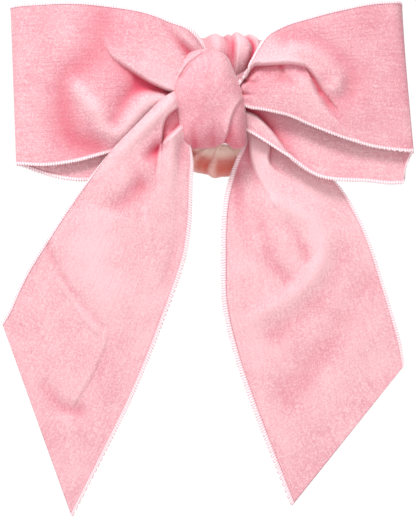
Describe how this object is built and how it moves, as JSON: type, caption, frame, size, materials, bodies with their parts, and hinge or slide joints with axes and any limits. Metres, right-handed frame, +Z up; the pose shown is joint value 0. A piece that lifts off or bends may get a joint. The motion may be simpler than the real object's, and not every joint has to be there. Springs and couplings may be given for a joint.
{
  "type": "ribbon bow hair tie",
  "caption": "Velvet ribbon bow with open loops, a gathered knot and slant-cut tails, tied on a ruched elastic ring that grips the hair; the bow and its tails swing.",
  "frame": {"origin": "centre of the round lower part of the ring's opening, where it grips the hair, midway through the ring's thickness", "axes": "+Z up from the opening to the knot with the tails hanging towards -Z, -Y out of the bow's front, +X to the viewer's right of the front; +Y runs along the hair opening, out of its back"},
  "size_m": [0.1672, 0.0347, 0.21],
  "materials": {
    "velvet_ribbon": "short velvet pile, soft sheen",
    "ruched_velvet": "gathered velvet, matt with bright crests",
    "woven_elastic": "ribbed woven elastic, matt",
    "sewing_thread": "spun thread, matt"
  },
  "bodies": {
    "ring": {"scrunchie_cover": "ruched_velvet", "elastic_band": "woven_elastic", "elastic_stitches": "sewing_thread", "cover_stitches": "sewing_thread"},
    "bow": {"tie_wrap": "velvet_ribbon", "bow_tacks": "sewing_thread", "centre_gather": "velvet_ribbon", "knot": "velvet_ribbon", "left_loop": "velvet_ribbon", "right_loop": "velvet_ribbon", "left_tail_root": "velvet_ribbon", "right_tail_root": "velvet_ribbon"},
    "left_tail": {"left_tail": "velvet_ribbon"},
    "right_tail": {"right_tail": "velvet_ribbon"}
  },
  "joints": [
    {"name": "bow_swing", "type": "hinge", "parent": "ring", "child": "bow", "pos_m": [0, 0, 0.0247], "axis": [-1, 0, 0], "range_deg": [0, 90]},
    {"name": "left_tail_swing", "type": "hinge", "parent": "bow", "child": "left_tail", "pos_m": [0, -0.0214, -0.0294], "axis": [-1, 0, 0], "range_deg": [-15, 60]},
    {"name": "right_tail_swing", "type": "hinge", "parent": "bow", "child": "right_tail", "pos_m": [0, -0.015, -0.0294], "axis": [-1, 0, 0], "range_deg": [-15, 60]}
  ]
}
